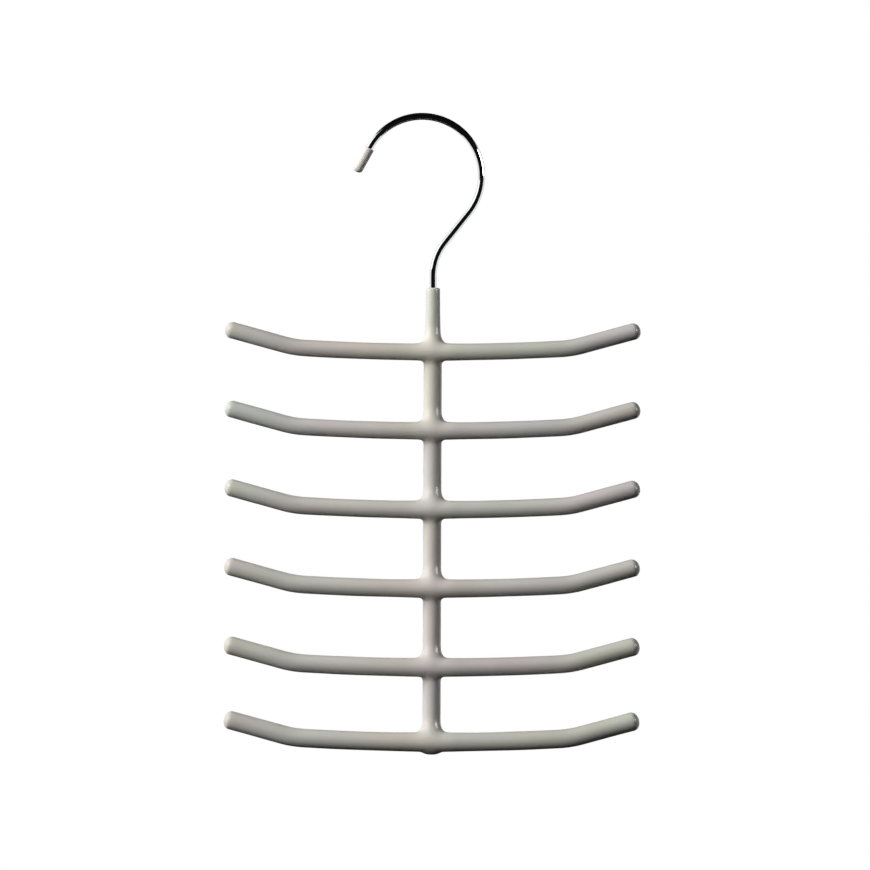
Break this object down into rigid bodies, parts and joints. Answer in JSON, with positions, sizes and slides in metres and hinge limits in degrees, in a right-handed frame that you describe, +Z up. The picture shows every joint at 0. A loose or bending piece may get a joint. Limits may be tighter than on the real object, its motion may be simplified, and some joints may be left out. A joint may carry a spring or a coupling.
{
  "type": "tie hanger",
  "caption": "Tiered tie hanger: bent cross bars welded to one upright tube under a dipped vinyl skin, hung from a swivelling chromed wire hook with a capped tip.",
  "frame": {"origin": "the point that hangs on the rail, where the swivel axis meets the underside of the hook's bow", "axes": "+Z up along the swivel axis, +X to the right and -Y towards someone who faces the hanger"},
  "size_m": [0.2004, 0.0121, 0.3092],
  "materials": {
    "chrome_wire": "polished chrome plate on drawn wire",
    "cap_vinyl": "soft satin off-white vinyl",
    "core_steel": "bare drawn mild steel, hidden under the vinyl",
    "weld_steel": "scaled weld metal, hidden under the vinyl",
    "dipped_vinyl": "semi-gloss warm grey dipped vinyl"
  },
  "bodies": {
    "hook": {"hook_wire": "chrome_wire", "hook_tip_cap": "cap_vinyl"},
    "frame": {"spine_tube": "core_steel", "cross_bar_1": "core_steel", "cross_bar_2": "core_steel", "cross_bar_3": "core_steel", "cross_bar_4": "core_steel", "cross_bar_5": "core_steel", "cross_bar_6": "core_steel", "upper_weld_1": "weld_steel", "upper_weld_2": "weld_steel", "upper_weld_3": "weld_steel", "upper_weld_4": "weld_steel", "upper_weld_5": "weld_steel", "upper_weld_6": "weld_steel", "lower_weld_1": "weld_steel", "lower_weld_2": "weld_steel", "lower_weld_3": "weld_steel", "lower_weld_4": "weld_steel", "lower_weld_5": "weld_steel", "lower_weld_6": "weld_steel", "vinyl_coat": "dipped_vinyl"}
  },
  "joints": [
    {"name": "hook_swivel", "type": "hinge", "parent": "hook", "child": "frame", "pos_m": [0, 0, -0.0812], "axis": [0, 0, 1], "continuous": true}
  ]
}
